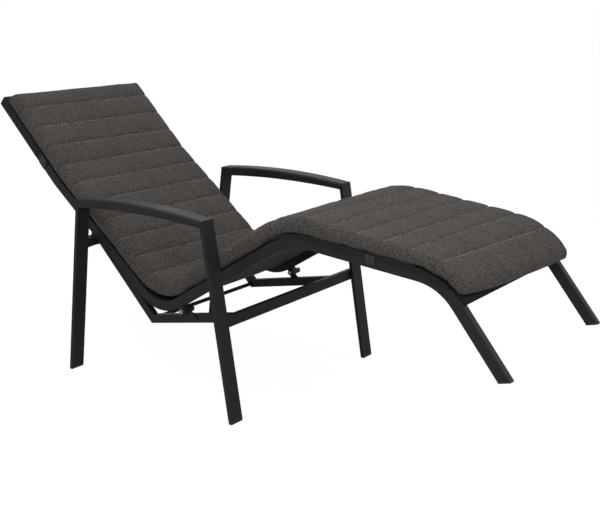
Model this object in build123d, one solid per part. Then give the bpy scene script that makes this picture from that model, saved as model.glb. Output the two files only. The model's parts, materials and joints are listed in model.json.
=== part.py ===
from build123d import *
import os
from math import cos, radians, sin

os.makedirs("parts", exist_ok=True)

# A sun lounger: a fixed stand with armrests, and a long bent lounge frame that rocks
# on two pivot bolts. Millimetres. X runs across, Y from the feet to the head, Z up.
# The origin is on the floor, at the middle of the overall length and width.

# Stand: armrests and legs
overall_width = 700.0
arm_width = 50.0
arm_thickness = 28.0
arm_front_thickness = 19.5
arm_rear_thickness = 29.0
arm_wall = 3.0
arm_top_round = 6.0
arm_front_height = 574.0
arm_crown_height = 587.0
arm_rear_height = 572.0
leg_width = 48.0
leg_thickness = 12.0
leg_wall = 2.0
front_foot_reach = 262.0
rear_foot_reach = 438.0
front_leg_lean = 9.3
rear_leg_lean = 8.4
foot_cap_height = 8.0
foot_plug_depth = 20.0
foot_cap_round = 2.0

# Stand: bars between the legs
front_crossbar_height = 32.0
rear_crossbar_height = 29.0
front_crossbar_depth = 20.0
crossbar_wall = 1.8
crossbar_inset = 26.0
front_crossbar_mount_height = 262.0
rear_crossbar_depth = 20.0
rear_crossbar_rail_gap = 1.1
rear_crossbar_drop = 5.0
rear_crossbar_bend = 80.0

# Stand: the cradle, two bent bars that carry the pivots
cradle_width = 21.0
cradle_height = 26.5
cradle_wall = 1.8
cradle_corner_back = 157.0
cradle_corner_height = 185.0
cradle_front_rise = 12.2
cradle_rear_rise = 44.2
cradle_tube_diameter = 12.5
cradle_tube_wall = 1.5
cradle_tube_back = 3.0
cradle_tube_rise = 12.0

# Lounge frame: the side rails' middle line, from the head to the feet
head_run = 344.0
head_angle = 43.8
back_run = 574.0
back_angle = 38.0
seat_run = 585.0
seat_angle = 32.0
calf_run = 469.0
calf_angle = 4.0
foot_run = 277.0
foot_angle = 50.4
head_bend = 300.0
seat_bend = 125.0
knee_bend = 200.0
foot_bend = 155.0
seat_bend_height = 235.0
arm_gap = 33.0
rail_width = 20.0
rail_height = 31.0
rail_wall = 1.8
rail_gap = 2.5
edge_round = 1.6
cap_lip = 5.0
cap_plug_depth = 18.0
full_tilt = 16.0

# Lounge frame: cross tubes
cross_tube_diameter = 16.0
cross_tube_wall = 1.5
cross_tube_sink = 5.0
head_tube_inset = 42.0
lumbar_tube_run = 300.0
calf_tube_run = 250.0

# Pivots
pivot_ahead = 96.0
pivot_height = 261.0
bolt_radius = 4.0
bolt_head_radius = 7.0
bolt_head_height = 5.0
bolt_socket_radius = 2.6
bolt_socket_depth = 3.0
bolt_edge = 0.8
hole_clearance = 0.2
running_clearance = 0.05
washer_radius = 8.5
washer_thickness = 1.5
cap_radius = 9.0
cap_length = 22.0
cap_bore_depth = 12.0
cap_round = 5.0
plate_thickness = 4.0
plate_round = 10.0
plate_foot_round = 10.0
plate_foot_ahead = 30.0
lug_round = 11.0
bush_radius = 7.0
bush_flange_radius = 11.0
bush_flange = 1.2
turning_gap = 0.3

# Recline stops on the rear bar
stop_gap = 0.3
stop_inset = 2.5
stop_width = 12.0

# Sling and its edge beads
sling_thickness = 2.0
sling_lift = 9.0
bead_width = 3.0
bead_height = 6.0
sling_head_inset = 12.0
sling_hem_run = 77.0
sling_hem_curve = 34.0

# Pad
pad_side_overhang = 5.0
pad_lift = 4.5
pad_edge_thickness = 48.0
pad_toe_thickness = 31.0
pad_taper_run = 457.0
pad_crown = 1.5
pad_side_bulge = 10.0
pad_side_draw = 3.0
pad_seam_depth = 5.0
pad_head_inset = 28.0
pad_head_bend = 300.0
pad_seat_bend = 160.0
pad_end_thickness_loss = 18.0
pad_end_draw = 12.0
pad_end_step = 10.0
first_seam = 68.0
channel_pitch = 81.4
last_channel = 92.5
back_channel_count = 10
seat_channel_count = 7
calf_channel_count = 5
channel_shares = (0.14, 0.5, 0.86)
channel_fill_shares = (0.72, 1.0, 0.72)

# Fabric pocket over the head end and fabric strip under the pad's foot end
cloth = 2.0
cloth_gap = 0.4
foot_strip_gap = 1.5
hood_run = 235.0
foot_strip_run = 330.0
foot_strip_steps = 16
foot_strip_thickness = 2.5


def heading(angle):
    """A unit step in the side view, at an angle above +Y."""
    return Vector(cos(radians(angle)), sin(radians(angle)))


def turned(step):
    """The step turned a quarter turn to its left."""
    return Vector(-step.Y, step.X)


def crossing(start, angle, other_start, other_angle):
    """The point where two lines in the side view cross."""
    step, other = heading(angle), heading(other_angle)
    across = turned(other)
    return start + step * ((other_start - start).dot(across) / step.dot(across))


def offset_line(points, distance):
    """A line's corners moved to its left, with the corners kept mitred."""
    moved = []
    for i, point in enumerate(points):
        before = (point - points[i - 1]).normalized() if i else None
        after = (points[i + 1] - point).normalized() if i + 1 < len(points) else None
        before, after = before or after, after or before
        sideways = turned(before) + turned(after)
        moved.append(point + sideways * (distance / (1 + before.dot(after))))
    return moved


def offset_radii(points, radii, distance):
    """The bend radii of a line that runs to the left of another."""
    found = []
    for i, radius in enumerate(radii):
        turn = (points[i + 1] - points[i]).cross(points[i + 2] - points[i + 1]).Z
        found.append(radius - distance if turn > 0 else radius + distance)
    return found


def bent_line(points, radii, distance):
    side = offset_line(points, distance)
    if radii:
        return FilletPolyline(*side, radius=offset_radii(points, radii, distance))
    return Polyline(*side)


def strip_face(points, radii, low, high):
    """The side view of a strip that follows a line, between two distances beside it."""
    left = bent_line(points, radii, high)
    right = bent_line(points, radii, low)
    ends = [Line(left @ 1, right @ 1), Line(right @ 0, left @ 0)]
    return make_face(left.edges() + right.edges() + ends)


def corner_face(*points):
    return make_face(Polyline(*points, close=True).edges())


def across(face, middle_x, width):
    """A side-view face given its width across the lounger."""
    return extrude(Plane.YZ.offset(middle_x) * face, amount=width / 2, both=True)


def soften(bar, end_length, axis=Axis.X):
    """Round a bar's long edges, but not those across its ends."""
    edges = bar.faces().filter_by(axis).edges()
    return fillet([e for e in edges if abs(e.length - end_length) > edge_round / 2], edge_round)


def strip_tube(points, radii, height, width, wall, middle_x):
    """A rectangular tube along a bent line in the side view."""
    outer = across(strip_face(points, radii, -height / 2, height / 2), middle_x, width)
    reach = height / 2 - wall
    bore = across(strip_face(points, radii, -reach, reach), middle_x, width - 2 * wall)
    return soften(outer, height) - bore


def round_bar(radius, low_x, high_x, centre):
    """A round bar across the lounger, about a point in the side view."""
    place = Plane(origin=(low_x, centre.X, centre.Y), x_dir=(0, 1, 0), z_dir=(1, 0, 0))
    return extrude(place * Circle(radius), amount=high_x - low_x)


def cross_tube(radius, wall, half_length, centre):
    outer = round_bar(radius, -half_length, half_length, centre)
    return outer - round_bar(radius - wall, -half_length, half_length, centre)


def end_strip(tip, angle, cut_angle, start, end, reach, middle_x, width):
    """A bar at a rail's end, between two cuts that are parallel to the rail's own cut."""
    step = heading(angle)
    corners = []
    for distance, signs in ((start, (1, -1)), (end, (-1, 1))):
        for sign in signs:
            corners.append(crossing(tip + turned(step) * (sign * reach), angle,
                                    tip + step * distance, cut_angle))
    return across(corner_face(*corners), middle_x, width)


def end_cap(tip, angle, cut_angle, middle_x):
    """A plastic cap that closes a side rail, its lip flush with the tube."""
    lip = end_strip(tip, angle, cut_angle, -cap_lip, 0, rail_height / 2, middle_x, rail_width)
    plug = end_strip(tip, angle, cut_angle, -cap_lip - cap_plug_depth, -cap_lip,
                     rail_height / 2 - rail_wall, middle_x, rail_width - 2 * rail_wall)
    step = heading(angle)
    long_edges = lip.edges().filter_by(Axis((0, 0, 0), (0, step.X, step.Y)))
    return fillet(long_edges, edge_round) + plug


# The side view of the lounge frame, set so that the whole length is centred on the origin
head_rise = heading(head_angle)
back_rise = heading(back_angle)
seat_rise = heading(180 - seat_angle)
calf_fall = heading(180 + calf_angle)
foot_fall = heading(180 + foot_angle)
hood_skin = cloth + cloth_gap
head_reach = (head_run + hood_skin) * head_rise.X + back_run * back_rise.X
head_reach += (rail_height / 2 + hood_skin) * sin(radians(head_angle))
toe_reach = seat_run * seat_rise.X + calf_run * calf_fall.X + foot_run * foot_fall.X
head_cut, toe_cut = head_angle + 90, -full_tilt
toe_reach += crossing(turned(foot_fall) * (-rail_height / 2), 180 + foot_angle,
                      Vector(0, 0), toe_cut).X
seat_corner = Vector(-(head_reach + toe_reach) / 2, seat_bend_height)
back_corner = seat_corner + back_rise * back_run
head_tip = back_corner + head_rise * head_run
knee_corner = seat_corner + seat_rise * seat_run
foot_corner = knee_corner + calf_fall * calf_run
toe_tip = foot_corner + foot_fall * foot_run
rail_line = [head_tip, back_corner, seat_corner, knee_corner, foot_corner, toe_tip]
rail_bends = [head_bend, seat_bend, knee_bend, foot_bend]
pivot = Vector(seat_corner.X - pivot_ahead, pivot_height)
lounge_width = overall_width - 2 * (arm_width + arm_gap)
pad_width = lounge_width + 2 * pad_side_overhang
rail_outer = lounge_width / 2
rail_inner = rail_outer - rail_width
rail_middle = rail_outer - rail_width / 2
cradle_outer = rail_inner - rail_gap
cradle_inner = cradle_outer - cradle_width
leg_middle = (overall_width - arm_width) / 2

pieces = {}
sides = {"right": -1, "left": 1}

# The legs' faces in the side view, as lines up from the floor
front_up = 90 - front_leg_lean
rear_up = 90 + rear_leg_lean
front_outer = Vector(pivot.X - front_foot_reach, 0)
front_inner = front_outer + Vector(leg_thickness / cos(radians(front_leg_lean)), 0)
rear_outer = Vector(pivot.X + rear_foot_reach, 0)
rear_inner = rear_outer - Vector(leg_thickness / cos(radians(rear_leg_lean)), 0)


def up_line(foot, angle, height):
    """The point at a height on a line that rises from the floor."""
    return crossing(foot, angle, Vector(0, height), 0)


def between(start, end, share):
    return start + (end - start) * share


arm_corners = {
    "front_outer": up_line(front_outer, front_up, arm_front_height),
    "front_inner": up_line(front_inner, front_up, arm_front_height - arm_front_thickness),
    "rear_outer": up_line(rear_outer, rear_up, arm_rear_height),
    "rear_inner": up_line(rear_inner, rear_up, arm_rear_height - arm_rear_thickness),
}


def arm_face(inset):
    """The armrest's arched side view, cut to the mitres, drawn in by a wall."""
    front_share, rear_share = inset / arm_front_thickness, inset / arm_rear_thickness
    front_top = between(arm_corners["front_outer"], arm_corners["front_inner"], front_share)
    front_low = between(arm_corners["front_inner"], arm_corners["front_outer"], front_share)
    rear_top = between(arm_corners["rear_outer"], arm_corners["rear_inner"], rear_share)
    rear_low = between(arm_corners["rear_inner"], arm_corners["rear_outer"], rear_share)
    crown = Vector((front_top.X + rear_top.X) / 2, arm_crown_height - inset)
    belly = Vector(crown.X, arm_crown_height - arm_thickness + inset)
    return make_face([
        ThreePointArc(front_top, crown, rear_top),
        Line(rear_top, rear_low),
        ThreePointArc(rear_low, belly, front_low),
        Line(front_low, front_top),
    ])


def leg_face(outer_foot, inner_foot, angle, end, inset):
    """A leg's side view, from its foot cap to the armrest's mitre."""
    share = inset / leg_thickness
    outer_top, inner_top = arm_corners[end + "_outer"], arm_corners[end + "_inner"]
    outer_low = up_line(outer_foot, angle, foot_cap_height)
    inner_low = up_line(inner_foot, angle, foot_cap_height)
    return corner_face(between(outer_top, inner_top, share), between(inner_top, outer_top, share),
                       between(inner_low, outer_low, share), between(outer_low, inner_low, share))


def foot_cap(outer_foot, inner_foot, angle, middle_x):
    """A plastic foot with a plug that fits inside the leg."""
    share = leg_wall / leg_thickness
    outer_top = up_line(outer_foot, angle, foot_cap_height)
    inner_top = up_line(inner_foot, angle, foot_cap_height)
    shoe = across(corner_face(outer_foot, inner_foot, inner_top, outer_top), middle_x, leg_width)
    shoe = fillet(shoe.edges().filter_by(Axis.Z, tolerance=2 * front_leg_lean), foot_cap_round)
    plug_foot = between(outer_foot, inner_foot, share), between(inner_foot, outer_foot, share)
    low = [up_line(p, angle, foot_cap_height) for p in plug_foot]
    high = [up_line(p, angle, foot_cap_height + foot_plug_depth) for p in plug_foot]
    plug = across(corner_face(low[0], low[1], high[1], high[0]), middle_x, leg_width - 2 * leg_wall)
    return shoe + plug


for side, sign in sides.items():
    middle = sign * leg_middle
    arm = across(arm_face(0), middle, arm_width)
    arm_edges = arm.faces().filter_by(Axis.X).edges().filter_by(lambda e: e.length > leg_width * 2)
    arm = fillet(arm_edges.group_by(Axis.Z)[-1], arm_top_round)
    arm_edges = arm.faces().filter_by(Axis.X).edges().filter_by(lambda e: e.length > leg_width * 2)
    arm = fillet(arm_edges.group_by(Axis.Z)[0], edge_round)
    pieces["armrest_" + side] = arm - across(arm_face(arm_wall), middle, arm_width - 2 * arm_wall)
    for end, outer, inner, angle in (("front", front_outer, front_inner, front_up),
                                     ("rear", rear_outer, rear_inner, rear_up)):
        bar = across(leg_face(outer, inner, angle, end, 0), middle, leg_width)
        bar = fillet([e for e in bar.faces().filter_by(Axis.X).edges()
                      if e.length > leg_width * 2], edge_round)
        bore = across(leg_face(outer, inner, angle, end, leg_wall), middle, leg_width - 2 * leg_wall)
        pieces[end + "_leg_" + side] = bar - bore
        pieces[end + "_foot_cap_" + side] = foot_cap(outer, inner, angle, middle)

# The bars that tie the legs together, flat on the backs of the legs
crossbar_half = leg_middle + leg_width / 2 - crossbar_inset
front_bar_low = up_line(front_inner, front_up, front_crossbar_mount_height)
front_bar_line = [front_bar_low, front_bar_low + heading(front_up) * front_crossbar_height]
front_bar = across(strip_face(front_bar_line, None, -front_crossbar_depth, 0), 0,
                   2 * crossbar_half)
front_bar_bore_line = [front_bar_line[0] + heading(front_up) * crossbar_wall,
                       front_bar_line[1] - heading(front_up) * crossbar_wall]
front_bar_bore = across(strip_face(front_bar_bore_line, None, crossbar_wall - front_crossbar_depth,
                                   -crossbar_wall), 0, 2 * crossbar_half)
front_bar = fillet(front_bar.edges().filter_by(Axis.X), edge_round)
pieces["front_crossbar"] = front_bar - front_bar_bore

back_underside = seat_corner - turned(back_rise) * (rail_height / 2)
rear_bar_top = crossing(rear_outer, rear_up,
                        back_underside - turned(back_rise) * rear_crossbar_rail_gap, back_angle)
rear_bar_low = rear_bar_top - heading(rear_up) * rear_crossbar_height
rear_bar_middle = between(rear_bar_low, rear_bar_top, 1 / 2)
rear_bar_back = heading(rear_up - 90)
rear_bar_plane = Plane(
    origin=(0, rear_bar_middle.X, rear_bar_middle.Y),
    x_dir=(1, 0, 0),
    z_dir=(0, -rear_bar_back.X, -rear_bar_back.Y),
)
rear_bar_points = [
    Vector(-crossbar_half, -rear_crossbar_drop),
    Vector(-rail_outer, 0),
    Vector(rail_outer, 0),
    Vector(crossbar_half, -rear_crossbar_drop),
]
rear_bar_bends = [rear_crossbar_bend, rear_crossbar_bend]


def rear_bar_solid(inset):
    """The rear bar, or its bore, drawn from behind and given its depth."""
    reach = rear_crossbar_height / 2 - inset
    face = rear_bar_plane * strip_face(rear_bar_points, rear_bar_bends, -reach, reach)
    bar = extrude(face, amount=-(rear_crossbar_depth - 2 * inset))
    shift = rear_bar_back * inset
    return Pos(0, shift.X, shift.Y) * bar


pieces["rear_crossbar"] = rear_bar_solid(0) - rear_bar_solid(crossbar_wall)

# The cradle bars, from the front bar down to their corner and up to the rear bar
cradle_corner = Vector(pivot.X + cradle_corner_back, cradle_corner_height)
cradle_front_step = 180 - cradle_front_rise
front_bar_rear_face = front_bar_low + heading(front_up - 90) * front_crossbar_depth


def cradle_face(inset):
    """A cradle bar's side view, cut to fit behind the front bar and under the rear bar."""
    front_lines = [cradle_corner + heading(90 - cradle_front_rise) * depth
                   for depth in (inset, cradle_height - inset)]
    rear_lines = [cradle_corner + heading(90 + cradle_rear_rise) * depth
                  for depth in (inset, cradle_height - inset)]
    fronts = [crossing(p, cradle_front_step, front_bar_rear_face, front_up) for p in front_lines]
    corners = [crossing(low, cradle_front_step, high, cradle_rear_rise)
               for low, high in zip(front_lines, rear_lines)]
    saddle = crossing(rear_lines[0], cradle_rear_rise, rear_bar_low, rear_up - 90)
    rear_top = crossing(rear_lines[1], cradle_rear_rise, rear_bar_low, rear_up)
    return corner_face(fronts[0], corners[0], saddle, rear_bar_low, rear_top,
                       corners[1], fronts[1])


for side, sign in sides.items():
    middle = sign * (cradle_outer + cradle_inner) / 2
    bar = across(cradle_face(0), middle, cradle_width)
    bar = fillet([e for e in bar.faces().filter_by(Axis.X).edges()
                  if e.length > cradle_height * 2], edge_round)
    bore = across(cradle_face(cradle_wall), middle, cradle_width - 2 * cradle_wall)
    pieces["cradle_rail_" + side] = bar - bore

cradle_tube_centre = cradle_corner + Vector(cradle_tube_back, cradle_tube_rise)
pieces["cradle_cross_tube"] = cross_tube(cradle_tube_diameter / 2, cradle_tube_wall,
                                         cradle_inner, cradle_tube_centre)

# The side rails, their caps and the cross tubes between them
rail_cut_line = ([head_tip - head_rise * cap_lip] + rail_line[1:-1]
                 + [toe_tip + foot_fall * rail_height])
tubes = {
    "head_cross_tube": head_tip - head_rise * head_tube_inset,
    "lumbar_cross_tube": seat_corner + back_rise * lumbar_tube_run,
    "calf_cross_tube": knee_corner + calf_fall * calf_tube_run,
}
tube_sinks = {
    "head_cross_tube": -turned(head_rise),
    "lumbar_cross_tube": -turned(back_rise),
    "calf_cross_tube": turned(calf_fall),
}
for name, centre in tubes.items():
    pieces[name] = cross_tube(cross_tube_diameter / 2, cross_tube_wall, rail_inner,
                              centre + tube_sinks[name] * cross_tube_sink)
for side, sign in sides.items():
    middle = sign * rail_middle
    rail = strip_tube(rail_cut_line, rail_bends, rail_height, rail_width, rail_wall, middle)
    toe_offcut = end_strip(toe_tip, 180 + foot_angle, toe_cut, -cap_lip, 2 * rail_height,
                           rail_height, middle, 2 * rail_width)
    pieces["side_rail_" + side] = rail - toe_offcut
    pieces["toe_cap_" + side] = end_cap(toe_tip, 180 + foot_angle, toe_cut, middle)
    pieces["head_cap_" + side] = end_cap(head_tip, head_angle, head_cut, middle)

# The pivots: a plate on the cradle bar, a lug under the side rail, a bush, a bolt and a cap
rail_up = turned(-seat_rise)
seat_line_gap = (seat_corner - pivot).dot(rail_up) - rail_height / 2
lug_width = rail_outer - cradle_outer - plate_thickness - bush_flange - turning_gap
cradle_plate_foot = crossing(
    Vector(pivot.X - plate_foot_ahead, 0), 90,
    cradle_corner + heading(90 - cradle_front_rise) * (cradle_height / 2), cradle_front_step)


def pivot_circle(radius, centre=pivot):
    return Pos(centre.X, centre.Y) * Circle(radius)


for side, sign in sides.items():
    plate_inner = sign * cradle_outer
    plate_outer = sign * (cradle_outer + plate_thickness)
    plate_low, plate_high = sorted((plate_inner, plate_outer))
    plate = make_hull(pivot_circle(plate_round).edges()
                      + pivot_circle(plate_foot_round, cradle_plate_foot).edges())
    plate = plate - pivot_circle(bolt_radius + hole_clearance)
    pieces["pivot_plate_" + side] = across(plate, (plate_low + plate_high) / 2, plate_thickness)

    lug_top = pivot + rail_up * seat_line_gap
    lug = pivot_circle(lug_round) + corner_face(
        pivot - seat_rise * lug_round, pivot + seat_rise * lug_round,
        lug_top + seat_rise * lug_round, lug_top - seat_rise * lug_round)
    lug = lug - pivot_circle(bush_radius)
    lug_middle = sign * (rail_outer - lug_width / 2)
    pieces["pivot_lug_" + side] = across(lug, lug_middle, lug_width)

    sleeve = across(pivot_circle(bush_radius) - pivot_circle(bolt_radius + running_clearance),
                    lug_middle, lug_width)
    flange = across(pivot_circle(bush_flange_radius) - pivot_circle(bolt_radius + running_clearance),
                    sign * (rail_outer - lug_width - bush_flange / 2), bush_flange)
    pieces["pivot_bush_" + side] = sleeve + flange

    # Both bolts go in from the -X side, so the right one has its head outside the rail
    # and the left one has its head inside the cradle.
    lug_face = sign * (rail_outer + turning_gap)
    grip_low, grip_high = sorted((plate_inner, lug_face))
    shank_low = grip_low - washer_thickness
    shank_high = grip_high + washer_thickness
    bolt = round_bar(bolt_radius, shank_low, shank_high + cap_bore_depth, pivot)
    head = round_bar(bolt_head_radius, shank_low - bolt_head_height, shank_low, pivot)
    head = fillet(head.faces().sort_by(Axis.X)[0].edges(), bolt_edge)
    socket_face = RegularPolygon(bolt_socket_radius, 6)
    socket_plane = Plane(origin=(shank_low - bolt_head_height, pivot.X, pivot.Y),
                         x_dir=(0, 1, 0), z_dir=(1, 0, 0))
    socket = extrude(socket_plane * socket_face, amount=bolt_socket_depth)
    pieces["pivot_bolt_" + side] = bolt + head - socket
    cap = round_bar(cap_radius, shank_high, shank_high + cap_length, pivot)
    cap = fillet(cap.faces().sort_by(Axis.X)[-1].edges(), cap_round)
    pieces["pivot_cap_" + side] = cap - round_bar(bolt_radius, shank_high,
                                                  shank_high + cap_bore_depth, pivot)
    washers = []
    for low in (shank_low, grip_high):
        ring = round_bar(washer_radius, low, low + washer_thickness, pivot)
        washers.append(ring - round_bar(bolt_radius + hole_clearance, low,
                                        low + washer_thickness, pivot))
    pieces["pivot_washers_" + side] = Compound(children=washers)

# Rubber recline stops on the rear bar, just under the side rails
stop_line = back_underside - turned(back_rise) * stop_gap
stop_feet = [rear_bar_top + rear_bar_back * stop_inset,
             rear_bar_top + rear_bar_back * rear_crossbar_depth]
stop_tops = [crossing(p, rear_up, stop_line, back_angle) for p in stop_feet]
for side, sign in sides.items():
    face = corner_face(stop_feet[0], stop_feet[1], stop_tops[1], stop_tops[0])
    pieces["recline_stop_" + side] = across(face, sign * rail_middle, stop_width)

# The sling, with an edge bead along each side rail and a hem that curves in at the foot
sling_line = ([head_tip - head_rise * sling_head_inset] + rail_line[1:-1]
              + [foot_corner + foot_fall * sling_hem_run])


def along_rails(line, middle_height, height, middle_x, width):
    """A strip that follows the rails at a height over their middle line."""
    high, low = -middle_height + height / 2, -middle_height - height / 2
    return across(strip_face(line, rail_bends, low, high), middle_x, width)


sling_half = rail_inner - bead_width
sling = along_rails(sling_line, sling_lift, sling_thickness, 0, 2 * sling_half)
hem_end = sling_line[-1]
hem_corner_y = hem_end.X + sling_lift * foot_fall.Y
hem_cut = make_face([
    ThreePointArc((-sling_half, hem_corner_y), (0, hem_corner_y + sling_hem_curve),
                  (sling_half, hem_corner_y)),
    Line((sling_half, hem_corner_y), (sling_half, hem_corner_y - sling_hem_curve)),
    Line((sling_half, hem_corner_y - sling_hem_curve),
         (-sling_half, hem_corner_y - sling_hem_curve)),
    Line((-sling_half, hem_corner_y - sling_hem_curve), (-sling_half, hem_corner_y)),
])
pieces["sling"] = sling - extrude(hem_cut, amount=arm_crown_height)
for side, sign in sides.items():
    pieces["sling_bead_" + side] = along_rails(sling_line, sling_lift, bead_height,
                                               sign * (rail_inner - bead_width / 2), bead_width)

# The pad: crowned sections set along its underside, thin at the seams and full between them
pad_ends = ([head_tip - head_rise * pad_head_inset] + rail_line[1:-1]
            + [foot_corner + foot_fall * sling_hem_run])
pad_height = rail_height / 2 + pad_lift
pad_bottom = FilletPolyline(
    *offset_line(pad_ends, -pad_height),
    radius=[pad_head_bend, pad_seat_bend, knee_bend + pad_height, foot_bend + pad_height])
pad_length = pad_bottom.length


def pad_plane(distance):
    """The plane across the pad's underside, at a distance from its head end."""
    share = distance / pad_length
    point, tangent = pad_bottom @ share, pad_bottom % share
    return Plane(origin=(0, point.X, point.Y), x_dir=(1, 0, 0), z_dir=(0, tangent.X, tangent.Y))


def pad_section(distance, fill, thickness_lost=0, width_lost=0):
    """One closed outline across the pad, at a distance from its head end."""
    half = pad_width / 2 - (1 - fill) * pad_side_draw - width_lost
    shoulder = half - pad_side_bulge
    thinning = max(0, 1 - (pad_length - distance) / pad_taper_run)
    edge = pad_edge_thickness - (pad_edge_thickness - pad_toe_thickness) * thinning
    edge -= (1 - fill) * pad_seam_depth + thickness_lost
    crown = edge + pad_crown
    lines = [
        Line((-shoulder, 0), (shoulder, 0)),
        ThreePointArc((shoulder, 0), (half, edge / 2), (shoulder, edge)),
        ThreePointArc((shoulder, edge), (0, crown), (-shoulder, edge)),
        ThreePointArc((-shoulder, edge), (-half, edge / 2), (-shoulder, 0)),
    ]
    return pad_plane(distance) * make_face(lines)


back_seams = [first_seam + channel_pitch * i for i in range(back_channel_count + 1)]
calf_start = pad_length - last_channel - channel_pitch * calf_channel_count
calf_seams = [calf_start + channel_pitch * i for i in range(calf_channel_count + 1)]
seat_step = (calf_start - back_seams[-1]) / seat_channel_count
seat_seams = [back_seams[-1] + seat_step * (i + 1) for i in range(seat_channel_count - 1)]
seams = [0] + back_seams + seat_seams + calf_seams + [pad_length]
pad_sections = [pad_section(0, 0, pad_end_thickness_loss, pad_end_draw)]
for start, end in zip(seams[:-1], seams[1:]):
    if start > 0:
        pad_sections.append(pad_section(start, 0))
    else:
        pad_sections.append(pad_section(pad_end_step, 0, 0, 0))
    for share, fill in zip(channel_shares, channel_fill_shares):
        pad_sections.append(pad_section(start + (end - start) * share, fill))
pad_sections.append(pad_section(pad_length - pad_end_step, 0))
pad_sections.append(pad_section(pad_length, 0, pad_end_thickness_loss, pad_end_draw))
pieces["pad"] = loft(pad_sections, ruled=True)

# The fabric pocket that holds the pad over the head end of the rails
hood_start = head_tip - head_rise * hood_run
hood_top = pad_height - cloth_gap
hood_low = rail_height / 2 + hood_skin
hood_outer = across(strip_face([head_tip + head_rise * hood_skin, hood_start], None,
                               -hood_top, hood_low), 0, lounge_width + 2 * hood_skin)
hood_inner = across(strip_face([head_tip + head_rise * cloth_gap, hood_start - head_rise * cloth],
                               None, -hood_top - cloth, rail_height / 2 + cloth_gap),
                    0, lounge_width + 2 * cloth_gap)
pieces["head_pocket"] = hood_outer - hood_inner

# The doubled fabric strip between the rails and the foot end of the pad
strip_half = pad_width / 2 - pad_side_bulge
strip_sections = []
for i in range(foot_strip_steps + 1):
    distance = pad_length - foot_strip_run * (1 - i / foot_strip_steps)
    outline = Pos(0, -foot_strip_gap - foot_strip_thickness / 2) * Rectangle(
        2 * strip_half, foot_strip_thickness)
    strip_sections.append(pad_plane(distance) * outline)
pieces["foot_fabric"] = loft(strip_sections, ruled=True)

for name, piece in pieces.items():
    export_step(piece, "parts/" + name + ".step")
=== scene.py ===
import json
import math

import bmesh
import bpy
from mathutils import Matrix, Vector, noise


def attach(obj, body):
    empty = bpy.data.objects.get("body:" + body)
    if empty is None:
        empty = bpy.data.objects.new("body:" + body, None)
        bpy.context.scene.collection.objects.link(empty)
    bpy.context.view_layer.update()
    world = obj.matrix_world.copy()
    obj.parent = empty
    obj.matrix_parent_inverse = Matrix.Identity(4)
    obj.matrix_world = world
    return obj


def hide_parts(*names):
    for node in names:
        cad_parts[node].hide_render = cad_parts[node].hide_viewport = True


# A sun lounger: the powder-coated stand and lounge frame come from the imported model, and
# this script makes the quilted pad, the sling, the pocket, the seams and the finishes.
# Lengths are in metres and angles in degrees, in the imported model's frame.

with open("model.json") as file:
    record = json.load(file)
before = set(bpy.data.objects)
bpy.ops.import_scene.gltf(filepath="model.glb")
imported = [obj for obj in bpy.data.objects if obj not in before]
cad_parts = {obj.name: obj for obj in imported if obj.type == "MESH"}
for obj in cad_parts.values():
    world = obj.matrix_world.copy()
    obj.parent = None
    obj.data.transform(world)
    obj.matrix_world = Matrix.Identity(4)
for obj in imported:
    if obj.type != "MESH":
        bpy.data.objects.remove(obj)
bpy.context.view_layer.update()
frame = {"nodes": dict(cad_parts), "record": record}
nodes = frame["nodes"]

# The lounge frame's bent line in the side view

SEAT_CORNER = Vector((0.221033, 0.235))
HEAD_RUN, HEAD_ANGLE = 0.344, 43.8
BACK_RUN, BACK_ANGLE = 0.574, 38.0
SEAT_RUN, SEAT_ANGLE = 0.585, 32.0
CALF_RUN, CALF_ANGLE = 0.469, 4.0
FOOT_ANGLE = 50.4
RAIL_BENDS = (0.300, 0.125, 0.200, 0.155)
RAIL_HEIGHT = 0.031
RAIL_WIDTH = 0.020
LOUNGE_WIDTH = 0.534


def heading(angle):
    """A unit step in the side view, at an angle above +Y."""
    return Vector((math.cos(math.radians(angle)), math.sin(math.radians(angle))))


head_rise, back_rise = heading(HEAD_ANGLE), heading(BACK_ANGLE)
seat_rise, calf_fall = heading(180 - SEAT_ANGLE), heading(180 + CALF_ANGLE)
foot_fall = heading(180 + FOOT_ANGLE)
back_corner = SEAT_CORNER + back_rise * BACK_RUN
head_tip = back_corner + head_rise * HEAD_RUN
knee_corner = SEAT_CORNER + seat_rise * SEAT_RUN
foot_corner = knee_corner + calf_fall * CALF_RUN
rail_middle_corners = [back_corner, SEAT_CORNER, knee_corner, foot_corner]


def beside(corners, height):
    """The corners of a line that runs above another, with its corners mitred."""
    moved = []
    for i, corner in enumerate(corners):
        before = (corner - corners[i - 1]).normalized() if i else None
        after = (corners[i + 1] - corner).normalized() if i + 1 < len(corners) else None
        before, after = before or after, after or before
        ups = Vector((before.y + after.y, -before.x - after.x))
        moved.append(corner + ups * (height / (1 + before.dot(after))))
    return moved


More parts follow.
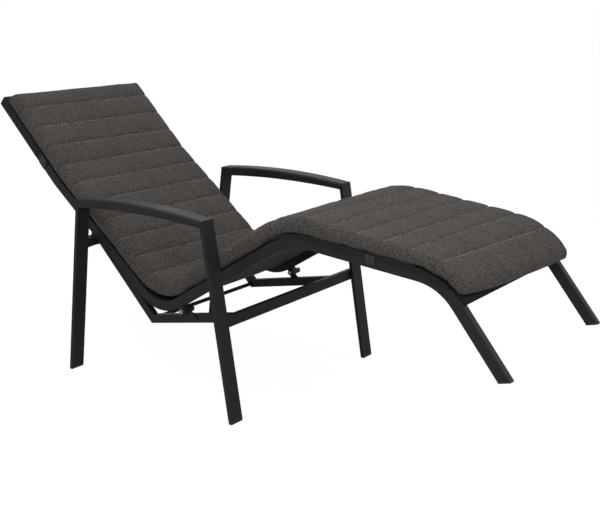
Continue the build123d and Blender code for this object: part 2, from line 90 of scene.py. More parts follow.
class SideLine:
    """A line with round bends in the side view, followed by the distance along it."""

    def __init__(self, corners, radii):
        self.parts = []
        start = corners[0]
        for i, radius in enumerate(radii, 1):
            before = (corners[i] - corners[i - 1]).normalized()
            after = (corners[i + 1] - corners[i]).normalized()
            turn = math.atan2(before.cross(after), before.dot(after))
            trim = radius * math.tan(abs(turn) / 2)
            enter = corners[i] - before * trim
            self.parts.append(((enter - start).length, start, before, 0.0, radius))
            self.parts.append((abs(turn) * radius, enter, before, turn, radius))
            start = corners[i] + after * trim
        ahead = (corners[-1] - start).normalized()
        self.parts.append(((corners[-1] - start).length, start, ahead, 0.0, 1.0))
        self.length = sum(part[0] for part in self.parts)

    def at(self, distance):
        """The point and the way ahead, at a distance from the head end."""
        left = distance
        for i, (length, start, ahead, turn, radius) in enumerate(self.parts):
            if left <= length or i == len(self.parts) - 1:
                break
            left -= length
        if not turn:
            return start + ahead * left, ahead
        angle = math.copysign(left / radius, turn)
        side = Vector((-ahead.y, ahead.x)) * math.copysign(radius, turn)
        point = start + side - Matrix.Rotation(angle, 2) @ side
        return point, Matrix.Rotation(angle, 2) @ ahead

    def place(self, distance, x, height):
        """A point across the lounger, at a height over the line."""
        point, ahead = self.at(distance)
        return Vector((x, point.x + ahead.y * height, point.y - ahead.x * height))


def smooth_step(value):
    value = min(1.0, max(0.0, value))
    return value * value * (3 - 2 * value)


def wave(place, fineness):
    """Smooth chance waves, from -1 to 1, of a fineness in each direction."""
    return noise.noise(Vector([step * waves for step, waves in zip(place, fineness)]))


# Node trees

FLOAT, COLOUR, VECTOR = "NodeSocketFloat", "NodeSocketColor", "NodeSocketVector"
GEOMETRY, MATERIAL, INTEGER = "NodeSocketGeometry", "NodeSocketMaterial", "NodeSocketInt"


def add_node(tree, kind, settings=None, **inputs):
    """A node with its settings and its inputs set or linked, by name or by number."""
    node = tree.nodes.new(kind)
    for name, value in (settings or {}).items():
        setattr(node, name, value)
    for name, value in inputs.items():
        socket = node.inputs[int(name[1:]) if name[0] == "_" else name.replace("_", " ")]
        if isinstance(value, bpy.types.NodeSocket):
            tree.links.new(value, socket)
        else:
            socket.default_value = value
    return node


def maths(tree, operation, *values):
    inputs = {"_%d" % i: value for i, value in enumerate(values)}
    return add_node(tree, "ShaderNodeMath", {"operation": operation}, **inputs).outputs[0]


def blend_colours(tree, share, low, high, kind="MIX"):
    node = tree.nodes.new("ShaderNodeMix")
    node.data_type, node.blend_type = "RGBA", kind
    for i, value in ((0, share), (6, low), (7, high)):
        if isinstance(value, bpy.types.NodeSocket):
            tree.links.new(value, node.inputs[i])
        else:
            node.inputs[i].default_value = value
    return node.outputs[2]


def between(tree, value, low, high, to_low, to_high):
    """A value carried over from one range to another, and held inside it."""
    node = add_node(tree, "ShaderNodeMapRange", None, _0=value, _1=low, _2=high,
                    _3=to_low, _4=to_high)
    return node.outputs[0]


def new_group(name, kind, inputs, outputs):
    """A node group with named inputs and outputs, and its two end nodes."""
    tree = bpy.data.node_groups.new(name, kind)
    for label, socket_type, value in inputs:
        socket = tree.interface.new_socket(label, in_out="INPUT", socket_type=socket_type)
        if value is not None:
            socket.default_value = value
    for label, socket_type in outputs:
        tree.interface.new_socket(label, in_out="OUTPUT", socket_type=socket_type)
    return tree, tree.nodes.new("NodeGroupInput"), tree.nodes.new("NodeGroupOutput")


def noise_value(tree, place, scale, detail=3.0, rough=0.55):
    node = add_node(tree, "ShaderNodeTexNoise", None, Vector=place, Scale=scale, Detail=detail,
                    Roughness=rough)
    return node.outputs[0]


def mix_values(tree, share, low, high):
    """A value between two others, as blend_colours does for colours."""
    node = add_node(tree, "ShaderNodeMix", {"data_type": "FLOAT"}, _0=share, _2=low, _3=high)
    return node.outputs[0]


def vector_maths(tree, operation, first, second):
    node = add_node(tree, "ShaderNodeVectorMath", {"operation": operation}, _0=first, _1=second)
    return node.outputs[0]


def scaled(tree, vector, scale):
    node = add_node(tree, "ShaderNodeVectorMath", {"operation": "SCALE"}, _0=vector, Scale=scale)
    return node.outputs[0]


def combine(tree, x, y, z):
    return add_node(tree, "ShaderNodeCombineXYZ", None, _0=x, _1=y, _2=z).outputs[0]


def grey(tree, value):
    node = add_node(tree, "ShaderNodeCombineColor", None, _0=value, _1=value, _2=value)
    return node.outputs[0]


def yarn_round(tree, cells):
    """The round of each yarn, from 0 at its edges to 1 at its middle."""
    return maths(tree, "ABSOLUTE", maths(tree, "SINE", maths(tree, "MULTIPLY", cells, math.pi)))


def link_finish(tree, result, colour, roughness, height):
    tree.links.new(colour, result.inputs["Colour"])
    tree.links.new(roughness, result.inputs["Roughness"])
    tree.links.new(height, result.inputs["Height"])
    return tree


# waves to a yarn for the slubs, to a metre for the others
SLUB_WAVES, MOTTLE_WAVES, CLOUD_WAVES = 0.9, 200.0, 9.0
# the parts of the noises' range that are used
SLUB_SPAN, MOTTLE_SPAN, CLOUD_SPAN = (0.32, 0.68), (0.33, 0.67), (0.3, 0.7)
CLOUD_TONE = 0.12
WEFT_SEED = 7.0
YARN_GAP_DEPTH, YARN_GAP_SHADE = 0.6, 0.62
SLUB_ROUGHNESS, SLUB_HEIGHT = 0.06, 0.8


def make_woven_cloth():
    """Two-tone yarns in a plain weave, with slubs and a soft mottle, over metres of cloth."""
    tree, source, result = new_group(
        "woven_cloth", "ShaderNodeTree",
        [("Place", VECTOR, None), ("Yarn Pitch", FLOAT, 0.0012),
         ("Dark Yarn", COLOUR, (0, 0, 0, 1)), ("Light Yarn", COLOUR, (1, 1, 1, 1)),
         ("Mottle", FLOAT, 0.3), ("Slub Length", FLOAT, 12.0), ("Base Roughness", FLOAT, 0.85)],
        [("Colour", COLOUR), ("Roughness", FLOAT), ("Height", FLOAT)])
    place, slub_length = source.outputs["Place"], source.outputs["Slub Length"]
    yarns = scaled(tree, place, maths(tree, "DIVIDE", 1.0, source.outputs["Yarn Pitch"]))
    split = add_node(tree, "ShaderNodeSeparateXYZ", None, _0=yarns)
    across, along = split.outputs[0], split.outputs[1]
    # the warp shows where it passes over, and elsewhere the weft
    over = add_node(tree, "ShaderNodeTexChecker", None, Vector=yarns, Scale=1.0).outputs[1]
    weave = mix_values(tree, over, yarn_round(tree, across), yarn_round(tree, along))
    # slubs run along each yarn
    warp_place = combine(tree, across, maths(tree, "DIVIDE", along, slub_length), 0.0)
    weft_place = combine(tree, maths(tree, "DIVIDE", across, slub_length), along, WEFT_SEED)
    slubs = mix_values(tree, over, noise_value(tree, warp_place, SLUB_WAVES, detail=2.0),
                       noise_value(tree, weft_place, SLUB_WAVES, detail=2.0))
    mottle = noise_value(tree, place, MOTTLE_WAVES, rough=0.6)
    clouds = noise_value(tree, place, CLOUD_WAVES, detail=2.0)
    patches = maths(tree, "ADD", between(tree, mottle, *MOTTLE_SPAN, -1.0, 1.0),
                    between(tree, clouds, *CLOUD_SPAN, -CLOUD_TONE, CLOUD_TONE))
    share = maths(tree, "ADD", between(tree, slubs, *SLUB_SPAN, 0.0, 1.0),
                  maths(tree, "MULTIPLY", patches, source.outputs["Mottle"]))
    share.node.use_clamp = True
    yarn = blend_colours(tree, share, source.outputs["Dark Yarn"], source.outputs["Light Yarn"])
    shade = between(tree, weave, 0.0, YARN_GAP_DEPTH, YARN_GAP_SHADE, 1.0)
    colour = blend_colours(tree, 1.0, yarn, grey(tree, shade), "MULTIPLY")
    roughness = maths(tree, "ADD", source.outputs["Base Roughness"],
                      between(tree, slubs, 0.0, 1.0, -SLUB_ROUGHNESS, SLUB_ROUGHNESS))
    height = maths(tree, "ADD", weave, maths(tree, "MULTIPLY", slubs, SLUB_HEIGHT))
    return link_finish(tree, result, colour, roughness, height)


# waves to a grain for the specks, to a metre for the others
SPECK_WAVES, PATCH_WAVES, DUST_AND_LIGHT_WAVES = 2.6, 6.0, 38.0
SPECK_SPAN, PATCH_SPAN, DUST_AND_LIGHT_SPAN = (0.35, 0.65), (0.3, 0.7), (0.35, 0.75)
SPECK_TONE, SPECK_HEIGHT = 0.6, 0.35
# the pale dust on what faces up is partly real dust and partly painted light that lightens the tops
DUST_AND_LIGHT_FROM_FACING, THINNEST_DUST_AND_LIGHT = 0.55, 0.2
DUST_AND_TOP_LIGHT_COLOUR = (0.30, 0.28, 0.26, 1.0)


def make_moulded_grain():
    """The fine orange peel of a powder coat or a moulded plastic, with a little tone, and a pale
    dust on what faces up that is partly painted light lightening the tops.
    """
    tree, source, result = new_group(
        "moulded_grain", "ShaderNodeTree",
        [("Place", VECTOR, None), ("Grain Size", FLOAT, 0.001), ("Colour", COLOUR, (0, 0, 0, 1)),
         ("Tone", FLOAT, 0.2), ("Base Roughness", FLOAT, 0.45), ("Rough Spread", FLOAT, 0.1),
         ("Dust", FLOAT, 0.1)],
        [("Colour", COLOUR), ("Roughness", FLOAT), ("Height", FLOAT)])
    place, tone = source.outputs["Place"], source.outputs["Tone"]
    grains = maths(tree, "DIVIDE", 1.0, source.outputs["Grain Size"])
    peel = noise_value(tree, place, grains, detail=2.0)
    specks = noise_value(tree, place, maths(tree, "MULTIPLY", grains, SPECK_WAVES), detail=1.0)
    patches = between(tree, noise_value(tree, place, PATCH_WAVES), *PATCH_SPAN, -1.0, 1.0)
    flecks = between(tree, specks, *SPECK_SPAN, -SPECK_TONE, SPECK_TONE)
    tones = maths(tree, "ADD", maths(tree, "MULTIPLY", patches, tone),
                  maths(tree, "MULTIPLY", flecks, tone))
    toned = blend_colours(tree, 1.0, source.outputs["Colour"],
                          grey(tree, maths(tree, "ADD", tones, 1.0)), "MULTIPLY")
    # a thin dust on what faces up, which is also painted light that lightens the tops
    normal = tree.nodes.new("ShaderNodeNewGeometry").outputs["Normal"]
    facing = add_node(tree, "ShaderNodeSeparateXYZ", None, _0=normal).outputs[2]
    lying = between(tree, facing, DUST_AND_LIGHT_FROM_FACING, 1.0, 0.0, 1.0)
    uneven_dust_and_light = noise_value(tree, place, DUST_AND_LIGHT_WAVES, detail=5.0, rough=0.7)
    dust_and_top_light = maths(tree, "MULTIPLY", maths(tree, "MULTIPLY", lying, source.outputs["Dust"]),
                 between(tree, uneven_dust_and_light, *DUST_AND_LIGHT_SPAN, THINNEST_DUST_AND_LIGHT, 1.0))
    colour = blend_colours(tree, dust_and_top_light, toned, DUST_AND_TOP_LIGHT_COLOUR)
    roughness = maths(tree, "ADD", source.outputs["Base Roughness"],
                      maths(tree, "MULTIPLY", patches, source.outputs["Rough Spread"]))
    height = maths(tree, "ADD", peel, maths(tree, "MULTIPLY", specks, SPECK_HEIGHT))
    return link_finish(tree, result, colour, roughness, height)


def new_finish(name, group, place, bump_strength, bump_distance, sockets, **inputs):
    """A material whose colour, roughness and relief come from one of the groups."""
    material = bpy.data.materials.new(name)
    material.use_nodes = True
    tree = material.node_tree
    shader = tree.nodes["Principled BSDF"]
    if place == "cloth":
        where = add_node(tree, "ShaderNodeUVMap", {"uv_map": "cloth"}).outputs[0]
    else:
        where = tree.nodes.new("ShaderNodeTexCoord").outputs["Object"]
    effect = tree.nodes.new("ShaderNodeGroup")
    effect.node_tree = group
    tree.links.new(where, effect.inputs["Place"])
    for label, value in inputs.items():
        effect.inputs[label.replace("_", " ")].default_value = value
    tree.links.new(effect.outputs["Colour"], shader.inputs["Base Color"])
    tree.links.new(effect.outputs["Roughness"], shader.inputs["Roughness"])
    bump = add_node(tree, "ShaderNodeBump", None, Strength=bump_strength, Distance=bump_distance,
                    Height=effect.outputs["Height"])
    tree.links.new(bump.outputs[0], shader.inputs["Normal"])
    for label, value in sockets.items():
        shader.inputs[label].default_value = value
    return material


woven_cloth = make_woven_cloth()
moulded_grain = make_moulded_grain()

# the Dust input lays a pale dust on what faces up, and with it painted light that lightens the tops
powder_coat = new_finish(
    "anthracite_powder_coat", moulded_grain, "object", 0.22, 0.0003, {"Specular IOR Level": 0.2},
    Grain_Size=0.0011, Colour=(0.0185, 0.0187, 0.0193, 1), Tone=0.10, Base_Roughness=0.5,
    Rough_Spread=0.05, Dust=0.035)
black_plastic = new_finish(
    "black_moulded_plastic", moulded_grain, "object", 0.35, 0.0003, {"Specular IOR Level": 0.4},
    Grain_Size=0.0008, Colour=(0.016, 0.016, 0.017, 1), Tone=0.15, Base_Roughness=0.55,
    Rough_Spread=0.08, Dust=0.08)
stop_rubber = new_finish(
    "stop_rubber", moulded_grain, "object", 0.3, 0.0003, {"Specular IOR Level": 0.3},
    Grain_Size=0.0006, Colour=(0.013, 0.013, 0.013, 1), Tone=0.2, Base_Roughness=0.8,
    Rough_Spread=0.06, Dust=0.15)
bolt_steel = new_finish(
    "bolt_steel", moulded_grain, "object", 0.12, 0.0001, {"Metallic": 1.0},
    Grain_Size=0.0005, Colour=(0.36, 0.36, 0.37, 1), Tone=0.08, Base_Roughness=0.4,
    Rough_Spread=0.08, Dust=0.0)
bead_plastic = new_finish(
    "bead_plastic", moulded_grain, "object", 0.3, 0.0003, {"Specular IOR Level": 0.35},
    Grain_Size=0.0008, Colour=(0.014, 0.014, 0.014, 1), Tone=0.15, Base_Roughness=0.6,
    Rough_Spread=0.05, Dust=0.05)
pad_cloth = new_finish(
    "melange_pad_cloth", woven_cloth, "cloth", 0.55, 0.0009,
    {"Sheen Weight": 0.1, "Sheen Roughness": 0.5, "Specular IOR Level": 0.15},
    Yarn_Pitch=0.0014, Dark_Yarn=(0.042, 0.0372, 0.0337, 1), Light_Yarn=(0.136, 0.121, 0.109, 1),
    Mottle=0.85, Slub_Length=9.0, Base_Roughness=0.9)
# the pad's melange with darker yarns, as painted shade on the straps
shaded_strap_cloth = new_finish(
    "melange_strap_cloth_painted_shade", woven_cloth, "cloth", 0.5, 0.0006,
    {"Sheen Weight": 0.1, "Specular IOR Level": 0.15},
    Yarn_Pitch=0.0012, Dark_Yarn=(0.024, 0.021, 0.019, 1), Light_Yarn=(0.085, 0.076, 0.068, 1),
    Mottle=0.5, Slub_Length=8.0, Base_Roughness=0.85)
trim_cloth = new_finish(
    "dark_trim_cloth", woven_cloth, "cloth", 0.45, 0.0006,
    {"Sheen Weight": 0.03, "Specular IOR Level": 0.1},
    Yarn_Pitch=0.0010, Dark_Yarn=(0.013, 0.013, 0.013, 1), Light_Yarn=(0.036, 0.035, 0.034, 1),
    Mottle=0.25, Slub_Length=8.0, Base_Roughness=0.8)
sling_cloth = new_finish(
    "black_sling_cloth", woven_cloth, "cloth", 0.6, 0.0008,
    {"Specular IOR Level": 0.3},
    Yarn_Pitch=0.0018, Dark_Yarn=(0.010, 0.010, 0.010, 1), Light_Yarn=(0.032, 0.032, 0.033, 1),
    Mottle=0.15, Slub_Length=30.0, Base_Roughness=0.62)
thread = new_finish(
    "pad_thread", moulded_grain, "object", 0.3, 0.0002, {"Sheen Weight": 0.2},
    Grain_Size=0.0004, Colour=(0.32, 0.298, 0.276, 1), Tone=0.2, Base_Roughness=0.8,
    Rough_Spread=0.05, Dust=0.0)
trim_thread = new_finish(
    "trim_thread", moulded_grain, "object", 0.3, 0.0002, {"Sheen Weight": 0.1},
    Grain_Size=0.0004, Colour=(0.05, 0.048, 0.046, 1), Tone=0.2, Base_Roughness=0.8,
    Rough_Spread=0.05, Dust=0.0)

finishes = {
    "frame_coating": powder_coat,
    "black_plastic": black_plastic,
    "rubber": stop_rubber,
    "steel": bolt_steel,
    "sling_bead": bead_plastic,
}
slot_of = {part["node"]: part["material_slot"] for part in frame["record"]["subparts"]}
for name, node in nodes.items():
    if slot_of[name] in finishes:
        node.data.materials.clear()
        node.data.materials.append(finishes[slot_of[name]])

# Mesh helpers

WELD_DISTANCE = 0.00005


def add_object(name, data):
    """A new object in the scene, at the origin."""
    piece = bpy.data.objects.new(name, data)
    bpy.context.scene.collection.objects.link(piece)
    return piece


def cloth_mesh(name, rows, material, closed):
    """A mesh from rows of (point, distance across the cloth, distance along it).

    A closed piece's rows are rings whose last entry repeats the first, further on."""
    columns = len(rows[0]) - (1 if closed else 0)
    points = [entry[0] for row in rows for entry in row[:columns]]
    faces, corners = [], []
    for i in range(len(rows) - 1):
        for j in range(len(rows[0]) - 1):
            right = (j + 1) % columns
            faces.append((i * columns + j, i * columns + right,
                          (i + 1) * columns + right, (i + 1) * columns + j))
            for row, column in ((i, j), (i, j + 1), (i + 1, j + 1), (i + 1, j)):
                corners.append(rows[row][column][1:])
    mesh = bpy.data.meshes.new(name)
    mesh.from_pydata(points, [], faces)
    layer = mesh.uv_layers.new(name="cloth")
    for loop, corner in zip(layer.data, corners):
        loop.uv = corner
    mesh.materials.append(material)
    mesh.polygons.foreach_set("use_smooth", [True] * len(mesh.polygons))
    return add_object(name, mesh)


def with_run(outline):
    """Each point of an outline, with the distance run along it."""
    run, last = 0.0, outline[0]
    for x, height in outline:
        run += math.hypot(x - last[0], height - last[1])
        last = (x, height)
        yield x, height, run


def weld(piece):
    """Close the ends where points coincide, and turn every face outwards."""
    shape = bmesh.new()
    shape.from_mesh(piece.data)
    bmesh.ops.remove_doubles(shape, verts=shape.verts, dist=WELD_DISTANCE)
    bmesh.ops.recalc_face_normals(shape, faces=shape.faces)
    shape.to_mesh(piece.data)
    shape.free()


def settle(piece):
    """Turn an object and its modifiers into one plain mesh."""
    depsgraph = bpy.context.evaluated_depsgraph_get()
    mesh = bpy.data.meshes.new_from_object(piece.evaluated_get(depsgraph))
    piece.modifiers.clear()
    old = piece.data
    piece.data = mesh
    bpy.data.meshes.remove(old)
    mesh.name = piece.name
    return piece


def thicken(piece, thickness, offset):
    """Give a sheet the thickness of its cloth: about its middle at 0, inwards at -1."""
    wall = piece.modifiers.new("cloth", "SOLIDIFY")
    wall.thickness, wall.offset = thickness, offset
    settle(piece)


# The pad

PAD_WIDTH = 0.544
PAD_LIFT = 0.0045
PAD_EDGE = 0.047
PAD_TOE_EDGE = 0.031
PAD_TAPER_RUN = 0.457
PAD_CROWN = 0.0005
PAD_SIDE_ROUND, PAD_SIDE_POWER = 0.021, 0.8
PAD_SIDE_DRAW = 0.002
PAD_SEAM_DEPTH = 0.0035
PAD_HEAD_INSET = 0.028
PAD_HEAD_ROUND, PAD_HEAD_DRAW = 0.012, 0.004
PAD_TOE_ROUND, PAD_TOE_DRAW = 0.020, 0.008
PAD_BACK_BEND, PAD_SEAT_BEND = 0.300, 0.160
HEAD_SKEW, TOE_SKEW = 0.006, 0.026
NEAR_CORNER_PULL, FAR_CORNER_PULL = 0.011, 0.004
TOE_CORNER_WIDTH, TOE_CORNER_RUN = 0.200, 0.160
SLING_HEM_RUN = 0.077
FIRST_SEAM = 0.068
CHANNEL_PITCH, LAST_CHANNEL = 0.0814, 0.0925
BACK_CHANNELS, SEAT_CHANNELS, CALF_CHANNELS = 10, 7, 5
CHANNEL_POWER = 6
END_FILL = 0.35
# where the rings lie, as shares of an end's round and of a channel, closer where the form turns
END_ROWS = (0.0, 0.03, 0.1, 0.22, 0.4, 0.65, 1.0)
HEAD_ROWS = (0.15, 0.3, 0.45, 0.6, 0.72, 0.82, 0.9, 0.96)
CHANNEL_ROWS = (0.0, 0.012, 0.03, 0.06, 0.11, 0.19, 0.32, 0.5, 0.68, 0.81, 0.89, 0.94, 0.97, 0.988)
TOE_ROWS = (0.03, 0.07, 0.13, 0.2, 0.3, 0.42, 0.54, 0.66, 0.78, 0.9)
BOTTOM_COLUMNS, SIDE_COLUMNS, TOP_COLUMNS = 36, 12, 66

pad_height = RAIL_HEIGHT / 2 + PAD_LIFT
pad_corners = ([head_tip - head_rise * PAD_HEAD_INSET] + rail_middle_corners
               + [foot_corner + foot_fall * SLING_HEM_RUN])
pad_line = SideLine(beside(pad_corners, pad_height),
                    (PAD_BACK_BEND, PAD_SEAT_BEND,
                     RAIL_BENDS[2] + pad_height, RAIL_BENDS[3] + pad_height))
pad_length = pad_line.length
seams = [FIRST_SEAM + CHANNEL_PITCH * i for i in range(BACK_CHANNELS + 1)]
calf_start = pad_length - LAST_CHANNEL - CHANNEL_PITCH * CALF_CHANNELS
seat_step = (calf_start - seams[-1]) / SEAT_CHANNELS
seams += [seams[-1] + seat_step * (i + 1) for i in range(SEAT_CHANNELS - 1)]
seams += [calf_start + CHANNEL_PITCH * i for i in range(CALF_CHANNELS + 1)]


def channel_fill(share):
    """How full a channel is, from 0 at its seams to 1 in its middle."""
    return (1 - abs(2 * share - 1) ** CHANNEL_POWER) ** 0.5


def lying_askew(distance, x):
    """Where a point of the cover lies: a little askew, with its foot corners drawn back."""
    skew = (HEAD_SKEW + (TOE_SKEW - HEAD_SKEW) * distance / pad_length) * x / PAD_WIDTH
    near_end = smooth_step(1 - (pad_length - distance) / TOE_CORNER_RUN)
    outside = max(0.0, 1 - (PAD_WIDTH / 2 - abs(x)) / TOE_CORNER_WIDTH)
    pull = NEAR_CORNER_PULL if x < 0 else FAR_CORNER_PULL
    return distance + skew - pull * near_end * outside ** 2


def edge_height(distance):
    """The pad's thickness at its edges, which thins towards the feet."""
    thinning = max(0.0, 1 - (pad_length - distance) / PAD_TAPER_RUN)
    return PAD_EDGE - (PAD_EDGE - PAD_TOE_EDGE) * thinning


def pad_ring(distance, fill):
    """One ring round the pad: its points, and the cloth's distance round and along."""
    from_end, end_round, end_draw = distance, PAD_HEAD_ROUND, PAD_HEAD_DRAW
    if distance > pad_length / 2:
        from_end, end_round, end_draw = pad_length - distance, PAD_TOE_ROUND, PAD_TOE_DRAW
    end = math.sqrt(max(0.0, 1 - (1 - min(1.0, from_end / end_round)) ** 2))
    half = PAD_WIDTH / 2 - (1 - fill) * PAD_SIDE_DRAW - (1 - end) * end_draw
    edge = edge_height(distance) - (1 - fill) * PAD_SEAM_DEPTH
    inner = half - PAD_SIDE_ROUND
    ring = [(-inner + 2 * inner * i / BOTTOM_COLUMNS, 0.0) for i in range(BOTTOM_COLUMNS)]
    for i in range(SIDE_COLUMNS):
        angle = math.radians(-90 + 180 * i / SIDE_COLUMNS)
        ring.append((inner + PAD_SIDE_ROUND * math.cos(angle) ** PAD_SIDE_POWER,
                     edge / 2 * (1 + math.sin(angle))))
    for i in range(TOP_COLUMNS):
        x = inner - 2 * inner * (i / TOP_COLUMNS)
        ring.append((x, edge + PAD_CROWN * (1 - (x / inner) ** 2)))
    for i in range(SIDE_COLUMNS + 1):
        angle = math.radians(90 - 180 * i / SIDE_COLUMNS)
        ring.append((-inner - PAD_SIDE_ROUND * abs(math.cos(angle)) ** PAD_SIDE_POWER,
                     edge / 2 * (1 + math.sin(angle))))
    middle = (edge + PAD_CROWN) / 2
    return [(pad_line.place(lying_askew(distance, x), x, middle + (height - middle) * end),
             run, distance) for x, height, run in with_run(ring)]


def pad_stations():
    """Each ring's distance along the pad, how full it is, and whether it lies on a sewn seam."""
    found = [(PAD_HEAD_ROUND * share, END_FILL + (1 - END_FILL) * share, False)
             for share in END_ROWS]
    found += [(PAD_HEAD_ROUND + (FIRST_SEAM - PAD_HEAD_ROUND) * share,
               channel_fill(0.5 + 0.5 * share), False) for share in HEAD_ROWS]
    for start, end in zip(seams[:-1], seams[1:]):
        found += [(start + (end - start) * share, channel_fill(share), share == 0.0)
                  for share in CHANNEL_ROWS]
    found.append((seams[-1], 0.0, True))
    last = pad_length - PAD_TOE_ROUND
    found += [(seams[-1] + (last - seams[-1]) * share, channel_fill(0.5 * share), False)
              for share in TOE_ROWS]
    found += [(pad_length - PAD_TOE_ROUND * share, END_FILL + (1 - END_FILL) * share, False)
              for share in END_ROWS[::-1]]
    return found


stations = pad_stations()
pad = cloth_mesh("pad_cover", [pad_ring(distance, fill) for distance, fill, sewn in stations],
                 pad_cloth, closed=True)
ring_size = BOTTOM_COLUMNS + 2 * SIDE_COLUMNS + TOP_COLUMNS
top_start = BOTTOM_COLUMNS + SIDE_COLUMNS
top_end = top_start + TOP_COLUMNS

SHOULDER_COLUMNS = 4
HELD_COLUMNS = 2
SWELL_LIMIT = 0.0025
SWELL_FRAMES = 20


def fill_with_air(piece, held, frames, limit):
    """Blow the cover up a little between its seams, as a filled cover stands, by simulation."""
    group = piece.vertex_groups.new(name="held")
    group.add(held, 1.0, "REPLACE")
    before = [v.co.copy() for v in piece.data.vertices]
    swell = piece.modifiers.new("swell", "CLOTH")
    cloth = swell.settings
    cloth.quality = 5
    cloth.mass = 0.25
    cloth.tension_stiffness = cloth.compression_stiffness = 12
    cloth.shear_stiffness = 4
    cloth.bending_stiffness = 0.4
    cloth.vertex_group_mass = "held"
    cloth.shrink_min = -0.035
    cloth.use_pressure = True
    cloth.uniform_pressure_force = 4
    cloth.effector_weights.gravity = 0
    swell.collision_settings.use_collision = False
    swell.point_cache.frame_start, swell.point_cache.frame_end = 1, frames
    for i in range(1, frames + 1):
        bpy.context.scene.frame_set(i)
    shape = piece.evaluated_get(bpy.context.evaluated_depsgraph_get()).to_mesh()
    after = [v.co.copy() for v in shape.vertices]
    piece.modifiers.remove(swell)
    bpy.context.scene.frame_set(1)
    for vertex, start, end in zip(piece.data.vertices, before, after):
        move = end - start
        if move.length > limit:
            move *= limit / move.length
        vertex.co = start + move
    piece.vertex_groups.clear()


held = []
for i, (distance, fill, sewn) in enumerate(stations):
    at_end = min(distance, pad_length - distance) < PAD_HEAD_ROUND / 2
    held += [i * ring_size + j for j in range(ring_size)
             if j <= BOTTOM_COLUMNS or at_end
             or (sewn and top_start - HELD_COLUMNS <= j <= top_end + HELD_COLUMNS)]
fill_with_air(pad, held, SWELL_FRAMES, SWELL_LIMIT)

# the gathers beside each seam, and the slight unevenness of a sewn cover
GATHER_REACH = 0.011
GATHER_HEIGHT, GATHER_WAVES = 0.0018, (46, 3.1, 9)
UNEVEN_HEIGHT, UNEVEN_WAVES = 0.0013, (9, 11, 4.2)
RIPPLE_HEIGHT, RIPPLE_WAVES = 0.0005, (30, 24, 9.7)

normals = [v.normal.copy() for v in pad.data.vertices]
for i, (distance, fill, sewn) in enumerate(stations):
    nearest = min(abs(distance - seam) for seam in seams)
    gather = 0 if sewn else math.exp(-nearest / GATHER_REACH)
    for j in range(BOTTOM_COLUMNS + 1, ring_size):
        vertex = pad.data.vertices[i * ring_size + j]
        x = vertex.co.x
        fold = wave((x, round(distance / CHANNEL_PITCH), distance), GATHER_WAVES)
        uneven = wave((x, distance, 1), UNEVEN_WAVES)
        ripple = wave((x, distance, 1), RIPPLE_WAVES)
        vertex.co += normals[i * ring_size + j] * (
            GATHER_HEIGHT * gather * fold + UNEVEN_HEIGHT * uneven + RIPPLE_HEIGHT * ripple)
seam_lines = [[pad.data.vertices[i * ring_size + j].co.copy()
               for j in range(top_start - SHOULDER_COLUMNS, top_end + SHOULDER_COLUMNS + 1)]
              for i, (distance, fill, sewn) in enumerate(stations) if sewn]
weld(pad)
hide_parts("pad")
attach(pad, "lounge")

# Stitches, laid along lines by one tree


def make_stitch_tree():
    """Short stitches laid end to end along every line of the mesh it is given."""
    tree, source, result = new_group(
        "laid_stitches", "GeometryNodeTree",
        [("Lines", GEOMETRY, None), ("Stitch Length", FLOAT, 0.005), ("Stitch Gap", FLOAT, 0.0015),
         ("Thread Thickness", FLOAT, 0.0009), ("Thread", MATERIAL, None)],
        [("Stitches", GEOMETRY)])
    curve = add_node(tree, "GeometryNodeMeshToCurve", None, Mesh=source.outputs["Lines"])
    step = add_node(tree, "ShaderNodeMath", {"operation": "ADD"},
                    _0=source.outputs["Stitch Length"], _1=source.outputs["Stitch Gap"])
    points = add_node(tree, "GeometryNodeResampleCurve", {"mode": "LENGTH"},
                      Curve=curve.outputs[0], Length=step.outputs[0])
    ball = add_node(tree, "GeometryNodeMeshUVSphere", None, Segments=6, Rings=4, Radius=0.5)
    size = add_node(tree, "ShaderNodeCombineXYZ", None, _0=source.outputs["Thread Thickness"],
                    _1=source.outputs["Thread Thickness"], _2=source.outputs["Stitch Length"])
    stitch = add_node(tree, "GeometryNodeTransform", None, Geometry=ball.outputs[0],
                      Scale=size.outputs[0])
    tangent = tree.nodes.new("GeometryNodeInputTangent")
    turn = add_node(tree, "FunctionNodeAlignRotationToVector", {"axis": "Z"},
                    Vector=tangent.outputs[0])
    laid = add_node(tree, "GeometryNodeInstanceOnPoints", None, Points=points.outputs[0],
                    Instance=stitch.outputs[0], Rotation=turn.outputs[0])
    real = add_node(tree, "GeometryNodeRealizeInstances", None, Geometry=laid.outputs[0])
    done = add_node(tree, "GeometryNodeSetMaterial", None, Geometry=real.outputs[0],
                    Material=source.outputs["Thread"])
    tree.links.new(done.outputs[0], result.inputs[0])
    return tree


stitch_tree = make_stitch_tree()


def run_tree(piece, tree, **values):
    """Run a tree on a piece with its named sizes, and keep the result as a plain mesh."""
    modifier = piece.modifiers.new(tree.name, "NODES")
    modifier.node_group = tree
    sockets = {item.name: item.identifier for item in tree.interface.items_tree
               if item.item_type == "SOCKET" and item.in_out == "INPUT"}
    for label, value in values.items():
        modifier[sockets[label.replace("_", " ")]] = value
    return settle(piece)


def lines_object(name, lines):
    """A mesh of open lines."""
    points, edges = [], []
    for line in lines:
        first = len(points)
        points += line
        edges += [(first + i, first + i + 1) for i in range(len(line) - 1)]
    mesh = bpy.data.meshes.new(name)
    mesh.from_pydata(points, edges, [])
    return add_object(name, mesh)


def sew(name, lines, material, slot, **sizes):
    """Stitches along lines, which move with the lounge."""
    piece = run_tree(lines_object(name, lines), stitch_tree, Thread=material, **sizes)
    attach(piece, "lounge")


sew("pad_seam_stitches", seam_lines, thread, "pad_fabric",
    Stitch_Length=0.0048, Stitch_Gap=0.0004, Thread_Thickness=0.0024)

# Sheets that follow the lounge frame


